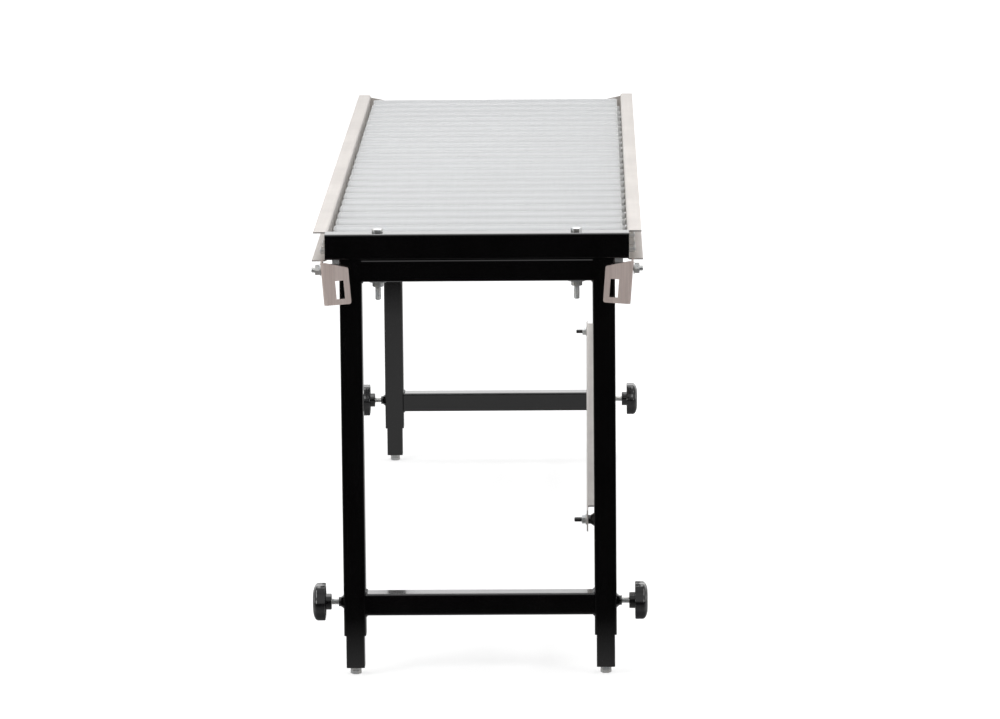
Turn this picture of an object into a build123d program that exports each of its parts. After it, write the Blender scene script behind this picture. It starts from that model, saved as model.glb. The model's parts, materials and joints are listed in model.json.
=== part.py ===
from build123d import *

import os
from math import radians, tan

# Gravity roller conveyor: a bed of free-running plastic rollers between two folded steel side
# frames, carried at each end by a welded stand with telescopic legs.
# Frame: millimetres, +Z up, Y along the bed, X across it. The origin is on the floor, below the
# middle of the bed. The stop bar is at the front, at -Y.

# Rollers
roller_count = 24
roller_pitch = 62.5
roller_diameter = 50.0
roller_wall = 2.8
roller_length = 392.0
roller_end_gap = 6.0
bed_height = 600.0
axle_diameter = 10.0
axle_overhang = 9.0
bearing_clearance = 0.05
cap_flange = 2.0
cap_flange_step = 0.4
cap_spigot = 14.0
cap_recess_depth = 1.0
cap_recess_diameter = 36.0
cap_hub_diameter = 26.0
cap_hub_length = 4.5

# Side frames, folded from sheet into a channel that opens outwards
frame_sheet = 2.0
frame_rise = 5.0
frame_height = 40.0
frame_top_flange = 19.0
frame_bottom_flange = 21.0
frame_bend_radius = 3.5
axle_hole_clearance = 0.3
frame_tab_width = 22.0
frame_tab_slope = 5.0
frame_tab_lift = 2.0

# Stands, welded from square tube
tube_size = 30.0
tube_wall = 2.0
tube_corner = 3.0
stand_inset = 19.0
stand_top_drop = 29.0
stand_bottom = 55.0
lower_crossbar_height = 98.0

# Telescopic inner legs
inner_tube_size = 25.0
inner_tube_wall = 2.0
inner_tube_corner = 2.5
inner_tube_length = 440.0
foot_reach = 10.0
plug_flange = 2.0
plug_depth = 20.0

# Levelling feet, a screw with its head down and a thin lock nut
foot_screw_length = 40.0
lock_nut_height = 4.0
lock_nut_gap = 0.3

# Clamp knobs
clamp_height = 100.0
boss_length = 7.0
boss_base_diameter = 20.0
boss_tip_diameter = 13.0
boss_cone_share = 0.6
knob_diameter = 53.0
knob_lobes = 6
knob_lobe_radius = 7.5
knob_waist_radius = 23.5
knob_waist_fillet = 5.0
knob_head_height = 17.0
knob_dome_height = 7.0
knob_dome_flat = 11.0
knob_dome_margin = 1.0
knob_dome_turn = 90.0
knob_recess_radius = 20.0
knob_recess_depth = 5.0
knob_hub_diameter = 22.0
knob_hub_height = 8.0
knob_stand_off = 17.0
knob_insert_depth = 17.0
stud_tip_gap = 0.3
thread_clearance = 0.05

# Stop bar at the front and cross tie at the rear
bar_depth = 30.0
stop_bar_height = 35.0
rear_tie_height = 15.0
bar_wall = 2.0
bar_corner = 3.0
bar_end_plate = 5.0
frame_screw_diameter = 6.0
frame_screw_inset = 12.0
frame_screw_spacing = 16.0
frame_screw_length = 12.0
frame_screw_head_diameter = 10.5
frame_screw_head_height = 2.6
frame_screw_crown = 0.7

# Through bolts that hold the stop bar and the rear tie down on the stands
screw_diameter = 8.0
screw_across_flats = 13.0
screw_head_height = 5.3
nut_height = 6.5
nut_bevel = 0.06
head_bevel = 0.15
rod_bevel = 0.1
washer_diameter = 16.0
washer_thickness = 1.6
through_bolt_inset = 21.5
through_bolt_stub = 18.0
wide_washer_diameter = 24.0
hole_clearance = 0.4

# Coupling plates
plate_sheet = 2.5
plate_bend_radius = 6.0
plate_height = 58.0
plate_side_length = 34.0
plate_side_gap = 2.0
plate_front_width = 37.0
plate_front_gap = 3.5
plate_top_drop = 3.0
plate_top_slope = 9.0
plate_corner = 3.0
plate_lean = 4.5
slot_width = 11.3
slot_height = 25.0
slot_inset = 23.5
slot_above_bottom = 20.0
bush_diameter = 16.0
coupling_stud_stub = 5.0

# Tie bar, a steel angle between the two right legs
tie_leg = 30.0
tie_sheet = 2.0
tie_bend_radius = 3.5
tie_stud_height = 212.0
tie_stand_off = 8.0
tie_stud_diameter = 6.0
tie_stud_below_top = 16.0
tie_stud_stub = 10.0
tie_nut_across_flats = 10.0
tie_nut_height = 5.0
tie_washer_diameter = 14.0
tie_end_margin = 2.0
tie_leg_clearance = 1.0
tie_boss_base_diameter = 18.0
tie_boss_tip_diameter = 12.0

# Places worked out from the sizes above
frame_length = roller_count * roller_pitch
axle_height = bed_height - roller_diameter / 2
web_inner = roller_length / 2 + roller_end_gap
web_outer = web_inner + frame_sheet
frame_top = bed_height + frame_rise
frame_bottom = frame_top - frame_height
stand_top = bed_height - stand_top_drop
leg_y = (frame_length + tube_size) / 2
leg_outer_x = web_outer - stand_inset
leg_x = leg_outer_x - tube_size / 2
leg_inner_x = leg_outer_x - tube_size
crossbar_length = 2 * leg_inner_x
through_bolt_spacing = 2 * (leg_inner_x - through_bolt_inset)
top_crossbar_height = stand_top - tube_size / 2
inner_tube_bottom = foot_reach + plug_flange
stud_tip_x = leg_x + inner_tube_size / 2 + stud_tip_gap
knob_hub_x = leg_outer_x + knob_stand_off
knob_head_x = knob_hub_x + knob_hub_height
knob_end_x = knob_head_x + knob_head_height
knob_shoulder_x = knob_end_x - knob_dome_height
knob_lobe_circle = knob_diameter / 2 - knob_lobe_radius
frame_screw_x = web_inner - frame_screw_inset
bush_outer_x = web_outer + plate_side_gap
plate_lean_reach = bush_diameter / 2 * tan(radians(plate_lean))
plate_outer_x = bush_outer_x + plate_lean_reach + plate_sheet
nut_seat_x = plate_outer_x + plate_lean_reach
plate_front_y = leg_y + tube_size / 2 + plate_front_gap + plate_sheet
plate_top = stand_top - plate_top_drop
plate_bottom = plate_top - plate_height
tie_end_y = leg_y + tube_size / 2 - tie_end_margin
tie_face_x = leg_inner_x - tie_stand_off
tie_outer_x = tie_face_x - tie_sheet
tie_top = tie_stud_height + tie_stud_below_top

ends = {"front": -1, "rear": 1}
sides = {"left": -1, "right": 1}
corners = [(end, side) for end in ends for side in sides]
bar_heights = {"front": stop_bar_height, "rear": rear_tie_height}
frame_screw_steps = {"front": (-0.5, 0.5), "rear": (0,)}

os.makedirs("parts", exist_ok=True)


def write(node, *pieces):
    """Write the pieces as one node, each piece a solid of its own."""
    whole = pieces[0] if len(pieces) == 1 else Compound(children=list(pieces))
    whole.label = node
    export_step(whole, f"parts/{node}.step")


def at_corner(shape, end, side):
    """Carry a piece made at the rear right leg to the leg at another corner."""
    if sides[side] < 0:
        shape = mirror(shape, about=Plane.YZ)
    if ends[end] < 0:
        shape = mirror(shape, about=Plane.XZ)
    return shape


def facing_x(x, y, z):
    """A plane through the point whose normal is +X and whose own x direction is +Y."""
    return Plane((x, y, z), x_dir=(0, 1, 0), z_dir=(1, 0, 0))


def end_plane(end):
    """The plane across the bed at one end of the side frames, its normal towards -Y."""
    return Plane.XZ.offset(-ends[end] * frame_length / 2)


def frame_screw_places(end):
    """Where the frame screws of one end are on the end plane, as x and z."""
    middle = stand_top + bar_heights[end] / 2
    heights = [middle + step * frame_screw_spacing for step in frame_screw_steps[end]]
    return [(sides[side] * frame_screw_x, height) for side in sides for height in heights]


def square_tube(plane, size, wall, corner, length):
    """A square tube that starts on the plane and runs along its normal."""
    with BuildPart() as tube:
        with BuildSketch(plane):
            RectangleRounded(size, size, corner)
            RectangleRounded(size - 2 * wall, size - 2 * wall, corner - wall / 2, mode=Mode.SUBTRACT)
        extrude(amount=length)
    return tube.part


def hex_nut(plane, across_flats, thread, height):
    """A nut that starts on the plane, its corners turned off at both faces."""
    with BuildPart() as round_blank:
        with BuildSketch(plane):
            Circle(across_flats / 3**0.5)
        extrude(amount=height)
        chamfer(round_blank.edges().filter_by(GeomType.CIRCLE), across_flats * nut_bevel)
    with BuildPart() as nut:
        with BuildSketch(plane):
            RegularPolygon(across_flats / 2, 6, major_radius=False)
        extrude(amount=height)
        add(round_blank.part, mode=Mode.INTERSECT)
        with BuildSketch(plane):
            Circle(thread / 2)
        extrude(amount=height, mode=Mode.SUBTRACT)
    return nut.part


def washer(plane, outer, bore, thickness):
    """A flat washer that starts on the plane."""
    with BuildPart() as ring:
        with BuildSketch(plane):
            Circle(outer / 2)
            Circle(bore / 2, mode=Mode.SUBTRACT)
        extrude(amount=thickness)
    return ring.part


def rod(plane, diameter, length):
    """A round rod that starts on the plane, with a bevelled far end."""
    with BuildPart() as bar:
        with BuildSketch(plane):
            Circle(diameter / 2)
        extrude(amount=length)
        chamfer(bar.faces().sort_by(Axis(plane.origin, plane.z_dir)).last.edges(), diameter * rod_bevel)
    return bar.part


def weld_boss(plane, base, tip, bore, length):
    """A welded nut with its fillet of weld: a cone from base to tip with a bore."""
    with BuildPart() as boss:
        with BuildSketch(plane):
            Circle(base / 2)
        with BuildSketch(plane.offset(length * boss_cone_share)):
            Circle(tip / 2)
        loft()
        with BuildSketch(plane.offset(length * boss_cone_share)):
            Circle(tip / 2)
        extrude(amount=length * (1 - boss_cone_share))
        if bore:
            with BuildSketch(plane):
                Circle(bore / 2)
            extrude(amount=length, mode=Mode.SUBTRACT)
    return boss.part


# Rollers: a plastic tube with a bearing cap pressed into each end

with BuildPart() as roller_tube:
    with BuildSketch(Plane.YZ):
        Circle(roller_diameter / 2)
        Circle(roller_diameter / 2 - roller_wall, mode=Mode.SUBTRACT)
    extrude(amount=roller_length / 2 - cap_flange, both=True)

with BuildPart() as bearing_cap:
    cap_seat = roller_length / 2 - cap_flange
    with BuildSketch(Plane.YZ.offset(cap_seat - cap_spigot)):
        Circle(roller_diameter / 2 - roller_wall)
    extrude(amount=cap_spigot)
    with BuildSketch(Plane.YZ.offset(cap_seat)):
        Circle(roller_diameter / 2 - cap_flange_step)
    extrude(amount=cap_flange)
    with BuildSketch(Plane.YZ.offset(roller_length / 2)):
        Circle(cap_recess_diameter / 2)
    extrude(amount=-cap_recess_depth, mode=Mode.SUBTRACT)
    with BuildSketch(Plane.YZ.offset(roller_length / 2 - cap_recess_depth)):
        Circle(cap_hub_diameter / 2)
    extrude(amount=cap_recess_depth + cap_hub_length)
    with BuildSketch(Plane.YZ.offset(cap_seat - cap_spigot)):
        Circle(axle_diameter / 2 + bearing_clearance)
    extrude(amount=cap_spigot + cap_flange + cap_hub_length, mode=Mode.SUBTRACT)

with BuildPart() as axle:
    with BuildSketch(Plane.YZ):
        Circle(axle_diameter / 2)
    extrude(amount=web_outer + axle_overhang, both=True)
    chamfer(axle.edges().filter_by(GeomType.CIRCLE), axle_diameter * rod_bevel)

left_bearing_cap = mirror(bearing_cap.part, about=Plane.YZ)
axles = []
for index in range(roller_count):
    place = Location((0, (index - (roller_count - 1) / 2) * roller_pitch, axle_height))
    axles.append(axle.part.moved(place))
    write(
        f"roller_{index + 1:02d}",
        roller_tube.part.moved(place),
        bearing_cap.part.moved(place),
        left_bearing_cap.moved(place),
    )
write("roller_axles", *axles)


# Stop bar and rear cross tie: closed tubes that lie on the stands, across the side frames' ends

def cross_member(end):
    """A tube with welded end plates, drilled for the through bolts and the frame screws."""
    height = bar_heights[end]
    middle = facing_x(-web_outer, ends[end] * leg_y, stand_top + height / 2)
    with BuildPart() as bar:
        with BuildSketch(middle):
            RectangleRounded(bar_depth, height, bar_corner)
        extrude(amount=2 * web_outer)
        with BuildSketch(middle.offset(bar_end_plate)):
            RectangleRounded(bar_depth - 2 * bar_wall, height - 2 * bar_wall, bar_corner - bar_wall / 2)
        extrude(amount=2 * (web_outer - bar_end_plate), mode=Mode.SUBTRACT)
        with BuildSketch(end_plane(end)):
            with Locations(*frame_screw_places(end)):
                Circle(frame_screw_diameter / 2 + thread_clearance)
        extrude(amount=-ends[end] * bar_wall, mode=Mode.SUBTRACT)
        with BuildSketch(Plane.XY.offset(stand_top)):
            with Locations((0, ends[end] * leg_y)):
                with GridLocations(through_bolt_spacing, 1, 2, 1):
                    Circle(screw_diameter / 2 + hole_clearance)
        extrude(amount=height, mode=Mode.SUBTRACT)
    return bar.part


write("stop_bar", cross_member("front"))
write("rear_tie", cross_member("rear"))


# Side frames: a channel with a tab folded inwards at each end, screwed to the bar there

with BuildPart() as side_frame:
    with BuildSketch(Plane.XZ):
        with BuildLine():
            FilletPolyline(
                (web_inner + frame_bottom_flange, frame_bottom),
                (web_inner, frame_bottom),
                (web_inner, frame_top),
                (web_inner + frame_top_flange, frame_top),
                radius=frame_bend_radius,
            )
            offset(amount=frame_sheet, side=Side.RIGHT)
        make_face()
    extrude(amount=frame_length / 2, both=True)
    with BuildSketch(Plane.YZ.offset(web_inner)):
        with Locations((0, axle_height)):
            with GridLocations(roller_pitch, 1, roller_count, 1):
                Circle(axle_diameter / 2 + axle_hole_clearance)
    extrude(amount=frame_sheet, mode=Mode.SUBTRACT)
    for end in ends:
        tab_top = frame_top - frame_bend_radius
        with BuildSketch(end_plane(end)):
            with BuildLine():
                Polyline(
                    (web_outer, stand_top + frame_tab_lift),
                    (web_outer, tab_top),
                    (web_inner - frame_tab_width, tab_top - frame_tab_slope),
                    (web_inner - frame_tab_width, stand_top + frame_tab_lift),
                    close=True,
                )
            make_face()
            with Locations(*frame_screw_places(end)):
                Circle(frame_screw_diameter / 2 + hole_clearance, mode=Mode.SUBTRACT)
        extrude(amount=ends[end] * frame_sheet)

write("side_frame_right", side_frame.part)
write("side_frame_left", mirror(side_frame.part, about=Plane.YZ))


# Screws that hold the tabs of the side frames to the stop bar and the rear tie

def frame_screw(end, x, z):
    """A low round-head screw from the roller side, with its head on the tab."""
    under_head = Plane((x, ends[end] * (frame_length / 2 - frame_sheet), z), z_dir=(0, -ends[end], 0))
    with BuildPart() as screw:
        with BuildSketch(under_head):
            Circle(frame_screw_diameter / 2)
        extrude(amount=-frame_screw_length)
        with BuildSketch(under_head):
            Circle(frame_screw_head_diameter / 2)
        extrude(amount=frame_screw_head_height)
        crown = screw.faces().sort_by(Axis(under_head.origin, under_head.z_dir)).last
        fillet(crown.edges(), frame_screw_head_height * frame_screw_crown)
    return screw.part


write("frame_screws", *[frame_screw(end, x, z) for end in ends for x, z in frame_screw_places(end)])


# Stands: two legs and two crossbars, with the welded bosses, bushes and studs

with BuildPart() as leg:
    with BuildSketch(Plane.XY.offset(stand_bottom)):
        with Locations((leg_x, leg_y)):
            RectangleRounded(tube_size, tube_size, tube_corner)
            RectangleRounded(
                tube_size - 2 * tube_wall,
                tube_size - 2 * tube_wall,
                tube_corner - tube_wall / 2,
                mode=Mode.SUBTRACT,
            )
    extrude(amount=stand_top - stand_bottom)
    with BuildSketch(Plane.YZ.offset(leg_outer_x)):
        with Locations((leg_y, clamp_height)):
            Circle(screw_diameter / 2 + hole_clearance)
    extrude(amount=-tube_wall, mode=Mode.SUBTRACT)

top_crossbar = square_tube(
    facing_x(-leg_inner_x, leg_y, top_crossbar_height),
    tube_size, tube_wall, tube_corner, crossbar_length,
)
with BuildPart() as drilled_crossbar:
    add(top_crossbar)
    with BuildSketch(Plane.XY.offset(stand_top - tube_size)):
        with Locations((0, leg_y)):
            with GridLocations(through_bolt_spacing, 1, 2, 1):
                Circle(screw_diameter / 2 + hole_clearance)
    extrude(amount=tube_size, mode=Mode.SUBTRACT)

lower_crossbar = square_tube(
    facing_x(-leg_inner_x, leg_y, lower_crossbar_height),
    tube_size, tube_wall, tube_corner, crossbar_length,
)
clamp_boss = weld_boss(
    facing_x(leg_outer_x, leg_y, clamp_height),
    boss_base_diameter, boss_tip_diameter, screw_diameter + 2 * thread_clearance, boss_length,
)
coupling_bush = washer(
    facing_x(leg_outer_x, leg_y, top_crossbar_height),
    bush_diameter, screw_diameter, bush_outer_x - leg_outer_x,
)
tie_boss_plane = Plane((leg_inner_x, leg_y, tie_stud_height), z_dir=(-1, 0, 0))
tie_boss = weld_boss(
    tie_boss_plane, tie_boss_base_diameter, tie_boss_tip_diameter, tie_stud_diameter, tie_stand_off
)
tie_stud = rod(
    tie_boss_plane,
    tie_stud_diameter,
    tie_stand_off + tie_sheet + washer_thickness + tie_nut_height + tie_stud_stub,
)

for end in ends:
    members = [at_corner(drilled_crossbar.part, end, "right"), at_corner(lower_crossbar, end, "right")]
    for side in sides:
        members += [at_corner(piece, end, side) for piece in (leg.part, clamp_boss, coupling_bush)]
    members += [at_corner(tie_boss, end, "right"), at_corner(tie_stud, end, "right")]
    write(f"{end}_stand", *members)


# Inner legs with their end plugs

with BuildPart() as end_plug:
    with BuildSketch(Plane.XY.offset(foot_reach)):
        with Locations((leg_x, leg_y)):
            RectangleRounded(inner_tube_size, inner_tube_size, inner_tube_corner)
    extrude(amount=plug_flange)
    with BuildSketch(Plane.XY.offset(inner_tube_bottom)):
        with Locations((leg_x, leg_y)):
            plug_size = inner_tube_size - 2 * inner_tube_wall
            RectangleRounded(plug_size, plug_size, inner_tube_corner - inner_tube_wall / 2)
    extrude(amount=plug_depth)
    with BuildSketch(Plane.XY.offset(foot_reach)):
        with Locations((leg_x, leg_y)):
            Circle(screw_diameter / 2 + thread_clearance)
    extrude(amount=plug_flange + plug_depth, mode=Mode.SUBTRACT)

inner_tube = square_tube(
    Plane((leg_x, leg_y, inner_tube_bottom)),
    inner_tube_size, inner_tube_wall, inner_tube_corner, inner_tube_length,
)
for end, side in corners:
    write(f"inner_leg_{end}_{side}", at_corner(inner_tube, end, side), at_corner(end_plug.part, end, side))


# Levelling feet

foot_plane = Plane((leg_x, leg_y, 0))
with BuildPart() as foot_screw:
    with BuildSketch(foot_plane):
        RegularPolygon(screw_across_flats / 2, 6, major_radius=False)
    extrude(amount=screw_head_height)
    chamfer(foot_screw.faces().sort_by(Axis.Z).first.edges(), screw_head_height * head_bevel)
    with BuildSketch(foot_plane.offset(screw_head_height)):
        Circle(screw_diameter / 2)
    extrude(amount=foot_screw_length)
lock_nut = hex_nut(
    foot_plane.offset(foot_reach - lock_nut_gap - lock_nut_height),
    screw_across_flats, screw_diameter, lock_nut_height,
)
for end, side in corners:
    write(f"foot_{end}_{side}", at_corner(foot_screw.part, end, side), at_corner(lock_nut, end, side))


# Clamp knobs: a lobed head with a domed face and a hollow back, and a hub, moulded round a steel stud

knob_plane = facing_x(0, leg_y, clamp_height)
with BuildPart() as knob_dome:
    knob_dome_radius = knob_diameter / 2 + knob_dome_margin
    with BuildSketch(Plane((0, leg_y, clamp_height), x_dir=(1, 0, 0), z_dir=(0, -1, 0))):
        with BuildLine():
            EllipticalCenterArc(
                (knob_shoulder_x, knob_dome_flat),
                knob_dome_height, knob_dome_radius - knob_dome_flat, arc_size=knob_dome_turn,
            )
            Polyline(
                (knob_shoulder_x, knob_dome_radius),
                (knob_head_x, knob_dome_radius),
                (knob_head_x, 0),
                (knob_end_x, 0),
                (knob_end_x, knob_dome_flat),
            )
        make_face()
    revolve(axis=Axis((0, leg_y, clamp_height), (1, 0, 0)))

with BuildPart() as knob:
    with BuildSketch(knob_plane.offset(knob_head_x)) as knob_outline:
        Circle(knob_waist_radius)
        with PolarLocations(knob_lobe_circle, knob_lobes):
            Circle(knob_lobe_radius)
        fillet(knob_outline.vertices(), knob_waist_fillet)
    extrude(amount=knob_head_height)
    add(knob_dome.part, mode=Mode.INTERSECT)
    with BuildSketch(knob_plane.offset(knob_head_x)):
        Circle(knob_recess_radius)
        Circle(knob_hub_diameter / 2, mode=Mode.SUBTRACT)
    extrude(amount=knob_recess_depth, mode=Mode.SUBTRACT)
    with BuildSketch(knob_plane.offset(knob_hub_x)):
        Circle(knob_hub_diameter / 2)
    extrude(amount=knob_hub_height)
    with BuildSketch(knob_plane.offset(knob_hub_x)):
        Circle(screw_diameter / 2)
    extrude(amount=knob_insert_depth, mode=Mode.SUBTRACT)
knob_stud = rod(
    Plane((knob_hub_x + knob_insert_depth, leg_y, clamp_height), z_dir=(-1, 0, 0)),
    screw_diameter, knob_hub_x + knob_insert_depth - stud_tip_x,
)
for end, side in corners:
    write(f"knob_{end}_{side}", at_corner(knob.part, end, side))
    write(f"knob_stud_{end}_{side}", at_corner(knob_stud, end, side))


# Coupling plates: a bent plate with a slot, clamped to the side of each leg and leaning on its bush

with BuildPart() as coupling_plate:
    plate_inner_x = plate_outer_x - plate_front_width
    with BuildSketch(Plane.XY.offset(plate_bottom)):
        with BuildLine():
            FilletPolyline(
                (plate_outer_x, plate_front_y - plate_side_length),
                (plate_outer_x, plate_front_y),
                (plate_inner_x, plate_front_y),
                radius=plate_bend_radius,
            )
            offset(amount=plate_sheet, side=Side.LEFT)
        make_face()
    extrude(amount=plate_height)
    with BuildSketch(Plane.XZ.offset(-plate_front_y)):
        with BuildLine():
            Polyline(
                (plate_outer_x - plate_bend_radius, plate_top),
                (plate_inner_x, plate_top),
                (plate_inner_x, plate_top - plate_top_slope),
                close=True,
            )
        make_face()
        with Locations((plate_outer_x - slot_inset, plate_bottom + slot_above_bottom)):
            Rectangle(slot_width, slot_height)
    extrude(amount=plate_sheet, mode=Mode.SUBTRACT)
    with BuildSketch(Plane.YZ.offset(plate_outer_x - plate_sheet)):
        with Locations((leg_y, top_crossbar_height)):
            Circle(screw_diameter / 2 + hole_clearance)
    extrude(amount=plate_sheet, mode=Mode.SUBTRACT)
    fillet(coupling_plate.edges().filter_by(Axis.Y).group_by(Axis.X)[0], plate_corner)

lean_axis = Axis((plate_outer_x - plate_sheet, leg_y, top_crossbar_height), (0, 1, 0))
leaning_plate = coupling_plate.part.rotate(lean_axis, plate_lean)
for end, side in corners:
    write(f"coupling_plate_{end}_{side}", at_corner(leaning_plate, end, side))


# Coupling studs, screwed into the bushes on the legs

stud_end_x = nut_seat_x + washer_thickness + nut_height + coupling_stud_stub
coupling_stud = rod(
    facing_x(leg_outer_x, leg_y, top_crossbar_height), screw_diameter, stud_end_x - leg_outer_x
)
write("coupling_studs", *[at_corner(coupling_stud, end, side) for end, side in corners])


# Tie bar

with BuildPart() as tie_bar:
    with BuildSketch(Plane.XZ):
        with BuildLine():
            FilletPolyline(
                (tie_outer_x, tie_top - tie_leg),
                (tie_outer_x, tie_top),
                (tie_outer_x + tie_leg, tie_top),
                radius=tie_bend_radius,
            )
            offset(amount=tie_sheet, side=Side.RIGHT)
        make_face()
    extrude(amount=tie_end_y, both=True)
    with BuildSketch(Plane.XY.offset(tie_top - tie_leg)):
        for end in ends:
            reach = tie_end_y - (leg_y - tube_size / 2 - tie_leg_clearance)
            with Locations((tie_face_x, ends[end] * tie_end_y)):
                Rectangle(tie_leg, reach, align=(Align.MIN, Align.MIN if ends[end] < 0 else Align.MAX))
    extrude(amount=tie_leg + tie_sheet, mode=Mode.SUBTRACT)
    with BuildSketch(Plane.YZ.offset(tie_face_x)):
        with Locations((0, tie_stud_height)):
            with GridLocations(2 * leg_y, 1, 2, 1):
                Circle(tie_stud_diameter / 2 + hole_clearance)
    extrude(amount=-tie_sheet, mode=Mode.SUBTRACT)
write("tie_bar", tie_bar.part)


# Through bolts: hexagon head on top of the bar, wide washer and nut under the crossbar

def through_bolt(end, x):
    """A bolt with its length to suit the bar that it holds down."""
    bar_top = stand_top + bar_heights[end]
    shank = bar_heights[end] + tube_size + washer_thickness + nut_height + through_bolt_stub
    with BuildPart() as bolt:
        with BuildSketch(Plane((x, ends[end] * leg_y, bar_top))):
            RegularPolygon(screw_across_flats / 2, 6, major_radius=False)
        extrude(amount=screw_head_height)
        chamfer(bolt.faces().sort_by(Axis.Z).last.edges(), screw_head_height * head_bevel)
        with BuildSketch(Plane((x, ends[end] * leg_y, bar_top))):
            Circle(screw_diameter / 2)
        extrude(amount=-shank)
    return bolt.part


bolt_places = [(end, step * through_bolt_spacing) for end in ends for step in (-0.5, 0.5)]
write("through_bolts", *[through_bolt(end, x) for end, x in bolt_places])

washers = []
nuts = []
for end, x in bolt_places:
    under = Plane((x, ends[end] * leg_y, stand_top - tube_size), z_dir=(0, 0, -1))
    hole = screw_diameter + 2 * hole_clearance
    washers.append(washer(under, wide_washer_diameter, hole, washer_thickness))
    nuts.append(hex_nut(under.offset(washer_thickness), screw_across_flats, screw_diameter, nut_height))
for end, side in corners:
    outside = facing_x(nut_seat_x, leg_y, top_crossbar_height)
    washers.append(at_corner(washer(outside, washer_diameter, hole, washer_thickness), end, side))
    nut = hex_nut(outside.offset(washer_thickness), screw_across_flats, screw_diameter, nut_height)
    nuts.append(at_corner(nut, end, side))
for end in ends:
    inside = Plane((tie_outer_x, leg_y, tie_stud_height), z_dir=(-1, 0, 0))
    tie_hole = tie_stud_diameter + 2 * hole_clearance
    washers.append(at_corner(washer(inside, tie_washer_diameter, tie_hole, washer_thickness), end, "right"))
    nut = hex_nut(
        inside.offset(washer_thickness), tie_nut_across_flats, tie_stud_diameter, tie_nut_height
    )
    nuts.append(at_corner(nut, end, "right"))
write("washers", *washers)
write("hex_nuts", *nuts)
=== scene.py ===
# %% [markdown]
# # A gravity roller conveyor
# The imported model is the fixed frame. Its steelwork already has the right shape, so most of it only
# needs paint, zinc or brushed metal. The rollers, the clamp knobs, the screw threads, the spring
# washers and the weld beads are modelled here, because those small forms catch the light.

# %% Load the frame
import json
from math import atan2, cos, pi, radians, sin

import bmesh
import bpy
from mathutils import Matrix, Vector


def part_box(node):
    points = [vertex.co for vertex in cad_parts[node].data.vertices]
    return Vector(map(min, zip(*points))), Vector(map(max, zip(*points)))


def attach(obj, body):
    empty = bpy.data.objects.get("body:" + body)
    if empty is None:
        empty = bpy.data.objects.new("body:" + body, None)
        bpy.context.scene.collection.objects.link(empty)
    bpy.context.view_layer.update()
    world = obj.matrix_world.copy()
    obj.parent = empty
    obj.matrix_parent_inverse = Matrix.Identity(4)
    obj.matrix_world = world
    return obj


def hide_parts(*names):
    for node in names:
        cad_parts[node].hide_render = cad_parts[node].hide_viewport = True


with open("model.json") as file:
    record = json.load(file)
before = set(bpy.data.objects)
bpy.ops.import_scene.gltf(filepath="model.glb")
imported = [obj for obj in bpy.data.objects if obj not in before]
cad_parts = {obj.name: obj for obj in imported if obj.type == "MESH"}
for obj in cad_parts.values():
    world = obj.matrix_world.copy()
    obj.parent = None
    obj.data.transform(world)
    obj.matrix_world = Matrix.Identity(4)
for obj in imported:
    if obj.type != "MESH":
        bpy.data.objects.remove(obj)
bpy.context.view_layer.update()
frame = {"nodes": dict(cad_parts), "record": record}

mm = 0.001
ends = {"front": -1, "rear": 1}
sides = {"left": -1, "right": 1}
corners = [(end, side) for end in ends for side in sides]
rollers = sorted(name for name in frame["nodes"] if name.startswith("roller_") and name != "roller_axles")
print("Loaded", len(frame["nodes"]), "nodes,", len(rollers), "rollers")

# %% [markdown]
# Every tool of Blender acts on what is selected, and loading leaves the whole frame selected. So a new
# piece starts with nothing selected. Faces and edges are then picked in code by their place or by the
# way they face, which is what a hand does with the mouse.

# %% Helpers for picking and shaping
def select_none():
    if bpy.context.object and bpy.context.object.mode != "OBJECT":
        bpy.ops.object.mode_set(mode="OBJECT")
    bpy.ops.object.select_all(action="DESELECT")


def select_only(piece):
    select_none()
    piece.select_set(True)
    bpy.context.view_layer.objects.active = piece


def pick(piece, kind, test):
    """Selects the faces, edges or vertices of a piece that pass a test, and stays in edit mode."""
    if piece.mode != "EDIT":
        select_only(piece)
        bpy.ops.object.mode_set(mode="EDIT")
    bpy.ops.mesh.select_mode(type={"faces": "FACE", "edges": "EDGE", "verts": "VERT"}[kind])
    bpy.ops.mesh.select_all(action="DESELECT")
    mesh = bmesh.from_edit_mesh(piece.data)
    for element in getattr(mesh, kind):
        if test(element):
            element.select_set(True)
    mesh.select_flush_mode()
    bmesh.update_edit_mesh(piece.data)


def settle(piece, name, smooth_angle=35):
    """Leaves edit mode, puts the place into the mesh and shades the curved faces smooth."""
    select_only(piece)
    bpy.ops.object.transform_apply(location=True, rotation=True, scale=True)
    bpy.ops.object.mode_set(mode="EDIT")
    bpy.ops.mesh.select_all(action="SELECT")
    bpy.ops.mesh.normals_make_consistent(inside=False)
    bpy.ops.object.mode_set(mode="OBJECT")
    bpy.ops.object.shade_smooth_by_angle(angle=radians(smooth_angle))
    piece.name = name
    return piece


def copy_of(piece, name, move):
    """A copy with its own mesh, moved by a matrix that goes into the mesh."""
    copy = piece.copy()
    copy.data = piece.data.copy()
    copy.name = name
    copy.data.transform(move)
    if move.determinant() < 0:
        copy.data.flip_normals()
    bpy.context.scene.collection.objects.link(copy)
    return copy


def mirror_to(end, side):
    """The matrix that carries a piece from the rear right corner to another one."""
    return Matrix.Diagonal((sides[side], ends[end], 1, 1))


def join(pieces, name):
    select_none()
    for piece in pieces:
        piece.select_set(True)
    bpy.context.view_layer.objects.active = pieces[0]
    bpy.ops.object.join()
    pieces[0].name = name
    return pieces[0]


# %% [markdown]
# Each finish starts as one shader with its own plain values. What varies over the surface, such as
# cloudy patches, brush lines or the fine skin of paint, comes from noise that reads the piece's own
# coordinates, so it stays on the piece from any side and at any pose.

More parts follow.
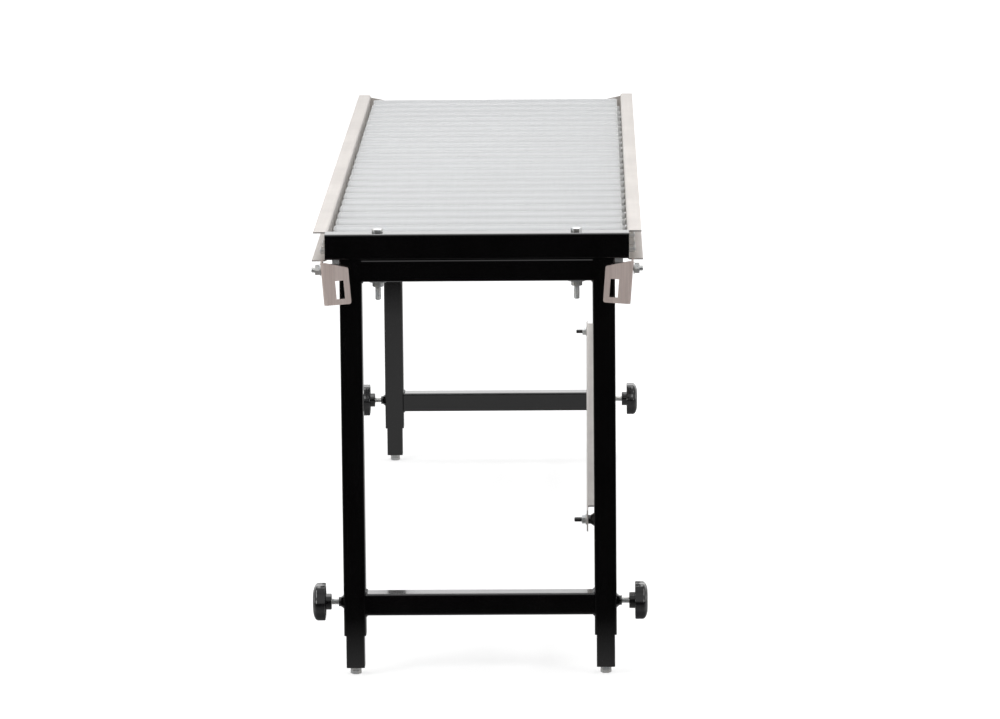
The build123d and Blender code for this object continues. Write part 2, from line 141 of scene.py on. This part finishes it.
# %% Helpers for finishes
def new_material(name, **values):
    """A material with one shader, whose named sockets get the given values."""
    material = bpy.data.materials.new(name)
    material.use_nodes = True
    shader = material.node_tree.nodes["Principled BSDF"]
    for socket, value in values.items():
        shader.inputs[socket.replace("_", " ")].default_value = value
    return material, material.node_tree, shader


def noise(tree, scale, stretch=(1, 1, 1), detail=3.0, roughness=0.5):
    """Noise on the piece's own coordinates. A small stretch value makes long streaks that way."""
    place = tree.nodes.new("ShaderNodeTexCoord")
    mapping = tree.nodes.new("ShaderNodeMapping")
    mapping.inputs["Scale"].default_value = stretch
    texture = tree.nodes.new("ShaderNodeTexNoise")
    texture.inputs["Scale"].default_value = scale
    texture.inputs["Detail"].default_value = detail
    texture.inputs["Roughness"].default_value = roughness
    tree.links.new(place.outputs["Object"], mapping.inputs["Vector"])
    tree.links.new(mapping.outputs["Vector"], texture.inputs["Vector"])
    return texture.outputs["Fac"]


def colour_ramp(tree, source, *stops):
    """Colours along a source from 0 to 1, each stop a place and a colour."""
    ramp = tree.nodes.new("ShaderNodeValToRGB")
    for index, (position, colour) in enumerate(stops):
        element = ramp.color_ramp.elements[index] if index < 2 else ramp.color_ramp.elements.new(position)
        element.position = position
        element.color = (*colour, 1)
    tree.links.new(source, ramp.inputs["Fac"])
    return ramp.outputs["Color"]


def value_range(tree, source, low, high, from_low=0.3, from_high=0.7):
    """The source spread between two values."""
    spread = tree.nodes.new("ShaderNodeMapRange")
    spread.inputs["From Min"].default_value = from_low
    spread.inputs["From Max"].default_value = from_high
    spread.inputs["To Min"].default_value = low
    spread.inputs["To Max"].default_value = high
    tree.links.new(source, spread.inputs["Value"])
    return spread.outputs["Result"]


def mix_colour(tree, factor, first, second, blend="MIX"):
    mix = tree.nodes.new("ShaderNodeMix")
    mix.data_type = "RGBA"
    mix.blend_type = blend
    for socket, source in (("Factor", factor), ("A", first), ("B", second)):
        target = [s for s in mix.inputs if s.name == socket and (socket == "Factor" or s.type == "RGBA")][0]
        if isinstance(source, (int, float)):
            target.default_value = source
        elif isinstance(source, tuple):
            target.default_value = (*source, 1)
        else:
            tree.links.new(source, target)
    return [s for s in mix.outputs if s.type == "RGBA"][0]


def bump(tree, shader, height, strength, distance):
    node = tree.nodes.new("ShaderNodeBump")
    node.inputs["Strength"].default_value = strength
    node.inputs["Distance"].default_value = distance
    tree.links.new(height, node.inputs["Height"])
    tree.links.new(node.outputs["Normal"], shader.inputs["Normal"])


# %% [markdown]
# The rollers are pale grey plastic pipe with a faint blue cast. Goods rub them round and round, so
# the fine scuffs run as rings, which is noise drawn out along the way the surface moves.

# %% Roller plastic
def roller_finish():
    material, tree, shader = new_material("roller_plastic", IOR=1.5)
    rings = noise(tree, 240, stretch=(1, 0.03, 0.03), detail=3)
    clouds = noise(tree, 9, detail=2)
    colour = colour_ramp(tree, clouds, (0.3, (0.67, 0.678, 0.688)), (0.7, (0.69, 0.699, 0.71)))
    scuffed = colour_ramp(tree, rings, (0.35, (0.98, 0.98, 0.98)), (0.6, (1, 1, 1)))
    tree.links.new(mix_colour(tree, 1.0, colour, scuffed, "MULTIPLY"), shader.inputs["Base Color"])
    tree.links.new(value_range(tree, rings, 0.12, 0.18), shader.inputs["Roughness"])
    bump(tree, shader, rings, 0.01, 0.0001)
    return material


def cap_finish():
    material, tree, shader = new_material("cap_plastic", Roughness=0.45)
    grain = noise(tree, 420, detail=2)
    colour = colour_ramp(tree, grain, (0.3, (0.66, 0.67, 0.67)), (0.7, (0.74, 0.75, 0.75)))
    tree.links.new(colour, shader.inputs["Base Color"])
    bump(tree, shader, grain, 0.08, 0.0003)
    return material


# %% [markdown]
# The side frames and the tie bar are folded from zinc-coated sheet. It is a bright metal with a dull
# skin: long faint streaks from the rolling mill, cloudy patches of the coating, and a warm cast.

# %% Coated sheet and brushed plate
def sheet_finish():
    material, tree, shader = new_material("coated_sheet", Metallic=0.55)
    streaks = noise(tree, 90, stretch=(1, 0.03, 1), detail=4)
    patches = noise(tree, 14, detail=4, roughness=0.6)
    colour = colour_ramp(tree, patches, (0.3, (0.73, 0.685, 0.65)), (0.7, (0.83, 0.79, 0.755)))
    worn = colour_ramp(tree, streaks, (0.3, (0.93, 0.925, 0.92)), (0.65, (1, 1, 1)))
    tree.links.new(mix_colour(tree, 1.0, colour, worn, "MULTIPLY"), shader.inputs["Base Color"])
    tree.links.new(value_range(tree, patches, 0.36, 0.52), shader.inputs["Roughness"])
    bump(tree, shader, streaks, 0.06, 0.0004)
    return material


def plate_finish():
    material, tree, shader = new_material("brushed_plate", Metallic=0.15)
    brush = noise(tree, 900, stretch=(1, 1, 0.02), detail=4)
    bands = noise(tree, 60, stretch=(1, 1, 0.1), detail=2)
    colour = colour_ramp(tree, bands, (0.3, (0.73, 0.60, 0.555)), (0.7, (0.87, 0.74, 0.69)))
    lined = colour_ramp(tree, brush, (0.3, (0.88, 0.88, 0.88)), (0.7, (1, 1, 1)))
    tree.links.new(mix_colour(tree, 1.0, colour, lined, "MULTIPLY"), shader.inputs["Base Color"])
    tree.links.new(value_range(tree, brush, 0.30, 0.44), shader.inputs["Roughness"])
    bump(tree, shader, brush, 0.08, 0.0003)
    return material


# %% [markdown]
# The stands and bars have a thick black paint. Sprayed paint is never quite flat: fine noise in the
# bump gives it the skin of an orange, and a slow change of roughness breaks up long reflections.

# %% Black paint, knob plastic, zinc and bearing steel
def paint_finish():
    material, tree, shader = new_material("black_paint", IOR=1.6, Coat_Weight=1.0, Coat_IOR=1.6, Coat_Roughness=0.04)
    skin = noise(tree, 700, detail=2)
    wipe = noise(tree, 22, stretch=(1, 1, 0.4), detail=5, roughness=0.6)
    colour = colour_ramp(tree, wipe, (0.3, (0.0014, 0.0012, 0.0014)), (0.75, (0.0030, 0.0026, 0.0030)))
    tree.links.new(colour, shader.inputs["Base Color"])
    tree.links.new(value_range(tree, wipe, 0.13, 0.22), shader.inputs["Roughness"])
    bump(tree, shader, skin, 0.05, 0.0003)
    return material


def knob_finish():
    material, tree, shader = new_material("knob_plastic", Coat_Weight=0.8, Coat_Roughness=0.04)
    grain = noise(tree, 260, detail=3)
    colour = colour_ramp(tree, grain, (0.3, (0.006, 0.006, 0.007)), (0.7, (0.010, 0.010, 0.011)))
    tree.links.new(colour, shader.inputs["Base Color"])
    tree.links.new(value_range(tree, grain, 0.14, 0.24), shader.inputs["Roughness"])
    return material


def zinc_finish():
    material, tree, shader = new_material("zinc_plate", Metallic=0.7)
    tint = noise(tree, 130, detail=3)
    fine = noise(tree, 900, detail=2)
    colour = colour_ramp(
        tree, tint, (0.3, (0.80, 0.83, 0.85)), (0.55, (0.90, 0.90, 0.88)), (0.75, (0.92, 0.89, 0.83))
    )
    tree.links.new(colour, shader.inputs["Base Color"])
    tree.links.new(value_range(tree, fine, 0.26, 0.38), shader.inputs["Roughness"])
    return material


def bearing_finish():
    material, tree, shader = new_material("bearing_steel", Metallic=1.0)
    turned = noise(tree, 500, detail=3)
    colour = colour_ramp(tree, turned, (0.3, (0.40, 0.40, 0.41)), (0.7, (0.52, 0.52, 0.53)))
    tree.links.new(colour, shader.inputs["Base Color"])
    tree.links.new(value_range(tree, turned, 0.25, 0.38), shader.inputs["Roughness"])
    return material


finishes = {
    "roller": roller_finish(),
    "cap": cap_finish(),
    "frame_steel": sheet_finish(),
    "plate_steel": plate_finish(),
    "black_paint": paint_finish(),
    "knob": knob_finish(),
    "zinc": zinc_finish(),
    "bearing": bearing_finish(),
}


def dress(piece, finish):
    piece.data.materials.clear()
    piece.data.materials.append(finishes[finish])


slots = {row["node"]: row["material_slot"] for row in frame["record"]["subparts"]}
for name, node in frame["nodes"].items():
    dress(node, slots[name])
print("Dressed", len(slots), "nodes in", len(finishes), "finishes")

# %% [markdown]
# ## The rollers
# A roller is a plastic pipe with a moulded cap pressed into each end. The cap holds a ball bearing,
# and its hub keeps the roller clear of the side frame. One roller is modelled at the front of the
# bed, and the others are copies of it, each with its own mesh and its own body to turn with.

# %% One roller tube
roller_low, roller_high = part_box(rollers[0])
roller_centre = (roller_low + roller_high) / 2
roller_radius = (roller_high.z - roller_low.z) / 2
roller_pitch = (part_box(rollers[1])[0] - roller_low).y
tube_half = 194 * mm
tube_edge = 0.8 * mm
round_steps = 96


def x_cylinder(radius, half_length, centre, vertices=round_steps):
    """A cylinder along X, as a start."""
    select_none()
    bpy.ops.mesh.primitive_cylinder_add(
        vertices=vertices, radius=radius, depth=2 * half_length, location=centre, rotation=(0, pi / 2, 0)
    )
    piece = bpy.context.object
    bpy.ops.object.transform_apply(location=False, rotation=True, scale=True)
    return piece


def end_rim(edge, half_length):
    """Whether an edge lies round one end of a cylinder along X."""
    return all(abs(abs(v.co.x) - half_length) < 1e-6 for v in edge.verts)


tube = x_cylinder(roller_radius, tube_half, roller_centre)
pick(tube, "edges", lambda edge: end_rim(edge, tube_half))
bpy.ops.mesh.bevel(offset=tube_edge, segments=2, affect="EDGES")
tube = settle(tube, "roller_tube")
print("Tube", round(roller_radius / mm, 1), "mm radius, pitch", round(roller_pitch / mm, 1), "mm")

# %% [markdown]
# The cap is shaped from its flange outwards: the outer face is inset and pushed in for the groove,
# inset again and pulled out for the hub, and inset once more and pushed in for the bearing's seat.

# %% One bearing cap and its bearing
cap_radius = roller_radius - 0.4 * mm
cap_flange_half = 1 * mm
groove_rim = 6.6 * mm
groove_depth = 1 * mm
hub_step = 5 * mm
seat_rim = 2.4 * mm
seat_depth = 1.6 * mm
cap_edge = 0.35 * mm
axle_radius = 5 * mm
hub_face = roller_high.x


def outermost(face):
    """Whether a face is the round one at the +X end of what is being shaped."""
    return face.normal.x > 0.99 and len(face.verts) == round_steps


cap = x_cylinder(cap_radius, cap_flange_half, (tube_half + cap_flange_half, roller_centre.y, roller_centre.z))
pick(cap, "faces", outermost)
bpy.ops.mesh.inset(thickness=groove_rim)
bpy.ops.mesh.extrude_region_move(TRANSFORM_OT_translate={"value": (-groove_depth, 0, 0)})
bpy.ops.mesh.inset(thickness=hub_step)
hub_rise = hub_face - (tube_half + 2 * cap_flange_half) + groove_depth
bpy.ops.mesh.extrude_region_move(TRANSFORM_OT_translate={"value": (hub_rise, 0, 0)})
bpy.ops.mesh.inset(thickness=seat_rim)
bpy.ops.mesh.extrude_region_move(TRANSFORM_OT_translate={"value": (-seat_depth, 0, 0)})
bpy.ops.mesh.inset(thickness=cap_radius - groove_rim - hub_step - seat_rim - axle_radius - 0.3 * mm)
bpy.ops.mesh.delete(type="FACE")
cap = settle(cap, "roller_cap")

bearing_ring = 1.2 * mm
bearing_radius = cap_radius - groove_rim - hub_step - seat_rim
bearing = x_cylinder(
    bearing_radius - 0.2 * mm, bearing_ring / 2,
    (hub_face - seat_depth + bearing_ring / 2, roller_centre.y, roller_centre.z),
)
pick(bearing, "faces", outermost)
bpy.ops.mesh.inset(thickness=0.7 * mm)
bpy.ops.mesh.extrude_region_move(TRANSFORM_OT_translate={"value": (-0.4 * mm, 0, 0)})
bearing = settle(bearing, "roller_bearing")
print("Hub face at", round(hub_face / mm, 1), "mm")

# %% Twenty-four rollers, each on its own body
both_sides = (Matrix.Identity(4), Matrix.Diagonal((-1, 1, 1, 1)))
caps = join([copy_of(cap, "cap_part", turn) for turn in both_sides], "roller_caps")
bearings = join([copy_of(bearing, "bearing_part", turn) for turn in both_sides], "roller_bearings")
for index, name in enumerate(rollers):
    along = Matrix.Translation((0, index * roller_pitch, 0))
    number = name[-2:]
    for piece, label, finish in ((tube, "tube", "roller"), (caps, "caps", "cap"), (bearings, "bearings", "bearing")):
        copy = copy_of(piece, f"roller_{label}_{number}", along)
        dress(copy, finish)
        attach(copy, name)
        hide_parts(name)
for piece in (tube, cap, bearing, caps, bearings):
    bpy.data.objects.remove(piece)

# %% [markdown]
# ## Clamp knobs
# Each knob is moulded black plastic: a domed head with six soft lobes, hollow at the back, and a hub
# that carries the steel stud. It is turned from one outline, as on a lathe, and the lobes are then
# pressed into it by moving the points of the rim in and out six times round.

# %% A lathe
def turned(outline, centre, steps=96):
    """A shape turned about an axis along X. The outline is distances along it and out from it, in mm."""
    select_none()
    bpy.ops.mesh.primitive_plane_add(size=1 * mm, location=centre)
    piece = bpy.context.object
    bpy.ops.object.mode_set(mode="EDIT")
    bpy.ops.mesh.select_mode(type="VERT")
    bpy.ops.mesh.select_all(action="SELECT")
    bpy.ops.mesh.merge(type="CENTER")
    bpy.ops.mesh.select_all(action="SELECT")
    bpy.ops.transform.translate(value=(outline[0][0] * mm, 0, outline[0][1] * mm))
    for (along, out), (next_along, next_out) in zip(outline, outline[1:]):
        step = ((next_along - along) * mm, 0, (next_out - out) * mm)
        bpy.ops.mesh.extrude_region_move(TRANSFORM_OT_translate={"value": step})
    bpy.ops.mesh.select_all(action="SELECT")
    bpy.ops.mesh.spin(steps=steps, angle=2 * pi, center=centre, axis=(1, 0, 0))
    bpy.ops.mesh.select_all(action="SELECT")
    bpy.ops.mesh.remove_doubles(threshold=0.01 * mm)
    return piece


# %% One clamp knob
knob_low, knob_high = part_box("knob_rear_right")
knob_centre = (knob_low + knob_high) / 2
knob_radius = (knob_high.y - knob_low.y) / 2 / mm
knob_length = (knob_high.x - knob_low.x) / mm
knob_lobes = 6
lobe_depth = 3.0
lobe_start = 10.0
dome_height = 7.0
dome_flat = 11.0
head_back = 8.0
recess_floor = 13.0
hub_radius = 11.0
bore_radius = 4.05
bore_depth = 17.0
dome_steps = 9
dome = [
    (
        knob_length - dome_height + dome_height * cos(step / dome_steps * pi / 2),
        dome_flat + (knob_radius - dome_flat) * sin(step / dome_steps * pi / 2),
    )
    for step in range(dome_steps + 1)
]
rim = [(head_back + 1.2, knob_radius), (head_back + 0.3, knob_radius - 0.4), (head_back, knob_radius - 1.2)]
lip = [(head_back, knob_radius - 3.0), (head_back + 0.3, knob_radius - 3.7), (head_back + 1.2, knob_radius - 4.0)]
recess = [(recess_floor - 0.6, knob_radius - 4.4), (recess_floor, knob_radius - 5.0)]
hub = [(recess_floor, hub_radius + 0.6), (recess_floor - 0.6, hub_radius), (0.6, hub_radius), (0, hub_radius - 0.6)]
bore = [(0, bore_radius), (bore_depth, bore_radius), (bore_depth, 0.0)]
outline = [(knob_length, 0.0), (knob_length, dome_flat / 2), *dome, *rim, *lip, *recess, *hub, *bore]
knob = turned(outline, (knob_low.x, knob_centre.y, knob_centre.z))
knob = settle(knob, "clamp_knob", smooth_angle=40)
for vertex in knob.data.vertices:
    across = vertex.co.y - knob_centre.y
    up = vertex.co.z - knob_centre.z
    out = (across**2 + up**2) ** 0.5 / mm
    share = min(max((out - lobe_start) / (knob_radius - lobe_start), 0), 1)
    share = share * share * (3 - 2 * share)
    dip = lobe_depth * (1 - cos(knob_lobes * atan2(up, across))) / 2
    squeeze = 1 - share * dip / knob_radius
    vertex.co.y = knob_centre.y + across * squeeze
    vertex.co.z = knob_centre.z + up * squeeze
for end, side in corners:
    turned_knob = copy_of(knob, f"clamp_knob_{end}_{side}", mirror_to(end, side))
    dress(turned_knob, "knob")
    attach(turned_knob, f"knob_{end}_{side}")
    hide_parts(f"knob_{end}_{side}")
bpy.data.objects.remove(knob)
print("Knob", round(2 * knob_radius, 1), "mm across,", round(knob_length, 1), "mm long")

# %% [markdown]
# ## Screw threads
# A thread is a ridge that climbs one pitch in each turn. A rod is cut into many thin rings, and each
# point is moved in or out by how far it stands from the ridge at its height and angle. That gives a
# real helix on a closed mesh, which catches the light as small slanting lines.

# %% A threaded rod
def threaded_rod(name, length, radius, pitch, sides_round=32, rings_a_turn=6):
    """A closed rod with a right-hand thread, from the origin up, with a bevelled top."""
    select_none()
    bpy.ops.mesh.primitive_cylinder_add(
        vertices=sides_round, radius=radius, depth=length, location=(0, 0, length / 2)
    )
    rod = bpy.context.object
    bpy.ops.object.transform_apply(location=True, rotation=True, scale=True)
    pick(rod, "edges", lambda edge: abs(edge.verts[0].co.z - edge.verts[1].co.z) > length / 2)
    bpy.ops.mesh.subdivide(number_cuts=round(length / pitch * rings_a_turn))
    rod = settle(rod, name, smooth_angle=50)
    depth = 0.6 * pitch
    for vertex in rod.data.vertices:
        angle = atan2(vertex.co.y, vertex.co.x)
        phase = (vertex.co.z / pitch - angle / (2 * pi)) % 1
        ridge = min(1.25 * abs(2 * phase - 1), 1)
        bevel = max(0, pitch - (length - vertex.co.z))
        out = min(radius - depth * (1 - ridge), radius - bevel)
        vertex.co.x = out * cos(angle)
        vertex.co.y = out * sin(angle)
    return rod


def upright_to(direction):
    """The matrix that lays an upright rod along a direction."""
    return Vector(direction).to_track_quat("Z", "Y").to_matrix().to_4x4()


m8_radius = 4 * mm
m8_pitch = 1.25 * mm

# %% [markdown]
# The through bolts keep their heads and plain shanks from the frame's own mesh. Its loose triangles
# are merged, everything below the nut is cut away with a level plane, and threaded ends take its place.

# %% Through bolts
bolt_low, bolt_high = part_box("through_bolts")
head_half = 6.5 * mm
threaded_end = 19 * mm
bolt_head_x = bolt_high.x - head_half / cos(pi / 6)
bolt_head_y = bolt_high.y - head_half
blank = bpy.data.objects.new("bolt_blanks", frame["nodes"]["through_bolts"].data.copy())
bpy.context.scene.collection.objects.link(blank)
select_only(blank)
bpy.ops.object.mode_set(mode="EDIT")
bpy.ops.mesh.select_all(action="SELECT")
bpy.ops.mesh.remove_doubles(threshold=0.01 * mm)
bpy.ops.mesh.bisect(
    plane_co=(0, 0, bolt_low.z + threaded_end), plane_no=(0, 0, 1), clear_inner=True, use_fill=True
)
blank = settle(blank, "bolt_blanks", smooth_angle=30)
bolt_end = threaded_rod("bolt_end", threaded_end, m8_radius, m8_pitch)
downwards = upright_to((0, 0, -1))
bolt_ends = [
    copy_of(
        bolt_end, "bolt_end_part",
        Matrix.Translation((step * bolt_head_x, ends[end] * bolt_head_y, bolt_low.z + threaded_end)) @ downwards,
    )
    for end in ends
    for step in (-1, 1)
]
bolts = join([blank, *bolt_ends], "through_bolts_threaded")
dress(bolts, "zinc")
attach(bolts, "frame")
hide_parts("through_bolts")
bpy.data.objects.remove(bolt_end)

# %% Coupling studs
stud_low, stud_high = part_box("coupling_studs")
bush_face = 185 * mm
coupling_stud = threaded_rod("coupling_stud", stud_high.x - bush_face, m8_radius, m8_pitch)
stud_place = Matrix.Translation((bush_face, stud_high.y - m8_radius, (stud_low.z + stud_high.z) / 2))
studs = [
    copy_of(coupling_stud, "coupling_stud_part", mirror_to(end, side) @ stud_place @ upright_to((1, 0, 0)))
    for end, side in corners
]
studs = join(studs, "coupling_studs_threaded")
dress(studs, "zinc")
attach(studs, "frame")
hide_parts("coupling_studs")
bpy.data.objects.remove(coupling_stud)

# %% Bare steel bushes under the coupling plates
bush_radius = 8.1 * mm
bush_wall = 0.4 * mm
bush_reach = 20.9 * mm
stand_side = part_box("rear_stand")[1].x
bush = x_cylinder(
    bush_radius, bush_reach / 2, (stand_side - bush_reach / 2, stud_high.y - m8_radius, (stud_low.z + stud_high.z) / 2)
)
pick(bush, "faces", lambda face: abs(face.normal.x) > 0.99)
bpy.ops.mesh.inset(thickness=bush_wall)
bpy.ops.mesh.bridge_edge_loops()
bush = settle(bush, "bush")
bushes = join([copy_of(bush, "bush_part", mirror_to(end, side)) for end, side in corners], "bush_sleeves")
dress(bushes, "zinc")
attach(bushes, "frame")
bpy.data.objects.remove(bush)

# %% Knob studs
stud_low, stud_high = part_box("knob_stud_rear_right")
knob_stud = threaded_rod("knob_stud", stud_high.x - stud_low.x, m8_radius, m8_pitch)
stud_place = Matrix.Translation((stud_high.x, (stud_low.y + stud_high.y) / 2, (stud_low.z + stud_high.z) / 2))
for end, side in corners:
    piece = copy_of(
        knob_stud, f"knob_stud_{end}_{side}_threaded",
        mirror_to(end, side) @ stud_place @ upright_to((-1, 0, 0)),
    )
    dress(piece, "zinc")
    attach(piece, f"knob_{end}_{side}")
    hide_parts(f"knob_stud_{end}_{side}")
bpy.data.objects.remove(knob_stud)

# %% [markdown]
# The two studs of the tie bar are welded to the stands and painted with them, so their ends are black.
# A thin threaded sleeve covers the plain end of each.

# %% Painted ends of the tie bar's studs
m6_radius = 3.15 * mm
m6_pitch = 1.0 * mm
tie_low, tie_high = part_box("tie_bar")
tie_nut_face = tie_low.x - 6.6 * mm
tie_stub = 10.05 * mm
tie_stud_height = 212 * mm
leg_y = (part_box("rear_stand")[0].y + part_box("rear_stand")[1].y) / 2
sleeve = threaded_rod("tie_sleeve", tie_stub, m6_radius, m6_pitch)
sleeves = [
    copy_of(
        sleeve, "tie_sleeve_part",
        Matrix.Translation((tie_nut_face, ends[end] * leg_y, tie_stud_height)) @ upright_to((-1, 0, 0)),
    )
    for end in ends
]
sleeves = join(sleeves, "tie_stud_ends")
dress(sleeves, "black_paint")
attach(sleeves, "frame")
bpy.data.objects.remove(sleeve)

# %% [markdown]
# ## Weld beads
# The crossbars are welded between the legs. A bead is a row of small overlapping puddles, so a round
# bar is swollen and pinched along its length, and laid in the corner where the two tubes meet.

# %% Weld beads
bead_length = 25 * mm
bead_radius = 2.2 * mm
puddle = 2.6 * mm
puddle_height = 0.14
leg_face = 155 * mm
weld_heights = (541 * mm, 113 * mm, 83 * mm)
select_none()
bpy.ops.mesh.primitive_cylinder_add(vertices=20, radius=bead_radius, depth=bead_length, rotation=(pi / 2, 0, 0))
bead = bpy.context.object
bpy.ops.object.transform_apply(location=True, rotation=True, scale=True)
pick(bead, "edges", lambda edge: abs(edge.verts[0].co.y - edge.verts[1].co.y) > bead_length / 2)
bpy.ops.mesh.subdivide(number_cuts=60)
bead = settle(bead, "weld_bead", smooth_angle=60)
for vertex in bead.data.vertices:
    ripple = 1 + puddle_height * sin(2 * pi * vertex.co.y / puddle + vertex.co.x / bead_radius)
    taper = min(1, (bead_length / 2 - abs(vertex.co.y)) / puddle + 0.35)
    vertex.co.x *= ripple * taper
    vertex.co.z *= ripple * taper
for end in ends:
    beads = [
        copy_of(bead, "weld_bead_part", Matrix.Translation((side * leg_face, ends[end] * leg_y, height)))
        for side in (-1, 1)
        for height in weld_heights
    ]
    beads = join(beads, f"weld_beads_{end}")
    dress(beads, "black_paint")
    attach(beads, "frame")
bpy.data.objects.remove(bead)

# %% [markdown]
# ## Floor, background and light
# The object stands on white paper in front of a white wall. In reflections the paper is a painted glow,
# which fades to almost nothing from just behind the front stand towards the viewer, so black paint that
# faces the viewer reflects a dark room, and only what lies close to the paper or behind it turns grey. Large soft
# lamps above and beside give almost no shadow.

# %% Floor
# Painted reflection: where the paper's glow, seen only in reflections, starts to fade towards the viewer, and over how
# far it fades.
reflected_glow_edge = -0.68
reflected_glow_fade = 0.45
paper_lift = 0.66
paper_glow = 0.31
floor_size = 60
bpy.ops.mesh.primitive_plane_add(size=floor_size, location=(0, 0, 0))
floor = bpy.context.object
floor.name = "floor"


def floor_finish():
    material = bpy.data.materials.new("white_paper")
    material.use_nodes = True
    tree = material.node_tree
    tree.nodes.clear()
    output = tree.nodes.new("ShaderNodeOutputMaterial")
    rays = tree.nodes.new("ShaderNodeLightPath")
    paper = tree.nodes.new("ShaderNodeBsdfDiffuse")
    paper.inputs["Color"].default_value = (0.82, 0.82, 0.82, 1)
    place = tree.nodes.new("ShaderNodeTexCoord")
    axes = tree.nodes.new("ShaderNodeSeparateXYZ")
    tree.links.new(place.outputs["Object"], axes.inputs["Vector"])
    distance = tree.nodes.new("ShaderNodeVectorMath")
    distance.operation = "LENGTH"
    tree.links.new(place.outputs["Object"], distance.inputs[0])
    lift = tree.nodes.new("ShaderNodeEmission")
    far = value_range(tree, distance.outputs["Value"], paper_lift, 1.0, 1.6, 3.5)
    tree.links.new(far, lift.inputs["Strength"])
    lit = tree.nodes.new("ShaderNodeAddShader")
    tree.links.new(paper.outputs[0], lit.inputs[0])
    tree.links.new(lift.outputs[0], lit.inputs[1])
    seen = tree.nodes.new("ShaderNodeMixShader")
    tree.links.new(rays.outputs["Is Camera Ray"], seen.inputs[0])
    tree.links.new(paper.outputs[0], seen.inputs[1])
    tree.links.new(lit.outputs[0], seen.inputs[2])
    # Painted reflection: in reflections alone the paper glows, at full strength behind the fade and dimming to almost
    # nothing towards the viewer.
    edge = value_range(tree, axes.outputs["Y"], 0.008, paper_glow, reflected_glow_edge - reflected_glow_fade, reflected_glow_edge)
    glow = tree.nodes.new("ShaderNodeEmission")
    tree.links.new(edge, glow.inputs["Strength"])
    mirrored = tree.nodes.new("ShaderNodeMath")
    mirrored.operation = "MAXIMUM"
    tree.links.new(rays.outputs["Is Glossy Ray"], mirrored.inputs[0])
    tree.links.new(rays.outputs["Is Transmission Ray"], mirrored.inputs[1])
    final = tree.nodes.new("ShaderNodeMixShader")
    tree.links.new(mirrored.outputs[0], final.inputs[0])
    tree.links.new(seen.outputs[0], final.inputs[1])
    tree.links.new(glow.outputs[0], final.inputs[2])
    tree.links.new(final.outputs[0], output.inputs["Surface"])
    return material


floor.data.materials.append(floor_finish())

# %% World
world = bpy.data.worlds.new("studio")
bpy.context.scene.world = world
world.use_nodes = True
tree = world.node_tree
tree.nodes.clear()
output = tree.nodes.new("ShaderNodeOutputWorld")
rays = tree.nodes.new("ShaderNodeLightPath")
ambient = tree.nodes.new("ShaderNodeBackground")
ambient.inputs["Strength"].default_value = 0.31
wall = tree.nodes.new("ShaderNodeBackground")
wall.inputs["Color"].default_value = (1, 1, 1, 1)
wall.inputs["Strength"].default_value = 1.0
room = tree.nodes.new("ShaderNodeBackground")
room.inputs["Color"].default_value = (1, 1, 1, 1)
direction = tree.nodes.new("ShaderNodeTexCoord")
axes = tree.nodes.new("ShaderNodeSeparateXYZ")
tree.links.new(direction.outputs["Generated"], axes.inputs["Vector"])
behind = value_range(tree, axes.outputs["Y"], 0.012, 1.0, -0.1, 0.4)
above = value_range(tree, axes.outputs["Z"], 0.0, 0.5, 0.25, 0.6)
brightest = tree.nodes.new("ShaderNodeMath")
brightest.operation = "MAXIMUM"
tree.links.new(behind, brightest.inputs[0])
tree.links.new(above, brightest.inputs[1])
tree.links.new(brightest.outputs[0], room.inputs["Strength"])
mirrored = tree.nodes.new("ShaderNodeMath")
mirrored.operation = "MAXIMUM"
tree.links.new(rays.outputs["Is Glossy Ray"], mirrored.inputs[0])
tree.links.new(rays.outputs["Is Transmission Ray"], mirrored.inputs[1])
unseen = tree.nodes.new("ShaderNodeMixShader")
tree.links.new(mirrored.outputs[0], unseen.inputs[0])
tree.links.new(ambient.outputs[0], unseen.inputs[1])
tree.links.new(room.outputs[0], unseen.inputs[2])
final = tree.nodes.new("ShaderNodeMixShader")
tree.links.new(rays.outputs["Is Camera Ray"], final.inputs[0])
tree.links.new(unseen.outputs[0], final.inputs[1])
tree.links.new(wall.outputs[0], final.inputs[2])
tree.links.new(final.outputs[0], output.inputs["Surface"])


# %% Lamps
def soft_lamp(name, place, target, width, height, watts):
    lamp = bpy.data.lights.new(name, "AREA")
    lamp.shape = "RECTANGLE"
    lamp.size = width
    lamp.size_y = height
    lamp.energy = watts
    holder = bpy.data.objects.new(name, lamp)
    holder.location = place
    holder.rotation_euler = (Vector(target) - Vector(place)).to_track_quat("-Z", "Y").to_euler()
    bpy.context.scene.collection.objects.link(holder)


middle = (0, 0, 0.4)
soft_lamp("lamp_above", (0, 0.25, 3.0), middle, 2.4, 2.8, 43)
soft_lamp("lamp_left", (-3.2, -2.4, 2.0), middle, 1.8, 1.8, 40)
soft_lamp("lamp_right", (3.2, -2.4, 1.8), middle, 1.8, 1.8, 25)

# %% [markdown]
# ## Camera
# The photographed view is from about 7 m in front and a little above, through a long lens. The place
# and the turn were fitted to corners of the stop bar, the stands and the side frames.

# %% Camera
camera_place = (0.152, -7.880, 1.670)
camera_pitch = radians(9.867)
camera_yaw = radians(0.986)
camera_roll = radians(-0.51)
camera_lens = 193.1
lens = bpy.data.cameras.new("camera")
lens.lens = camera_lens
lens.sensor_width = 36
camera = bpy.data.objects.new("camera", lens)
turn = Matrix.Rotation(camera_yaw, 4, "Z") @ Matrix.Rotation(pi / 2 - camera_pitch, 4, "X")
camera.matrix_world = Matrix.Translation(camera_place) @ turn @ Matrix.Rotation(camera_roll, 4, "Z")
bpy.context.scene.collection.objects.link(camera)
bpy.context.scene.camera = camera
bpy.context.scene.view_settings.view_transform = "Standard"
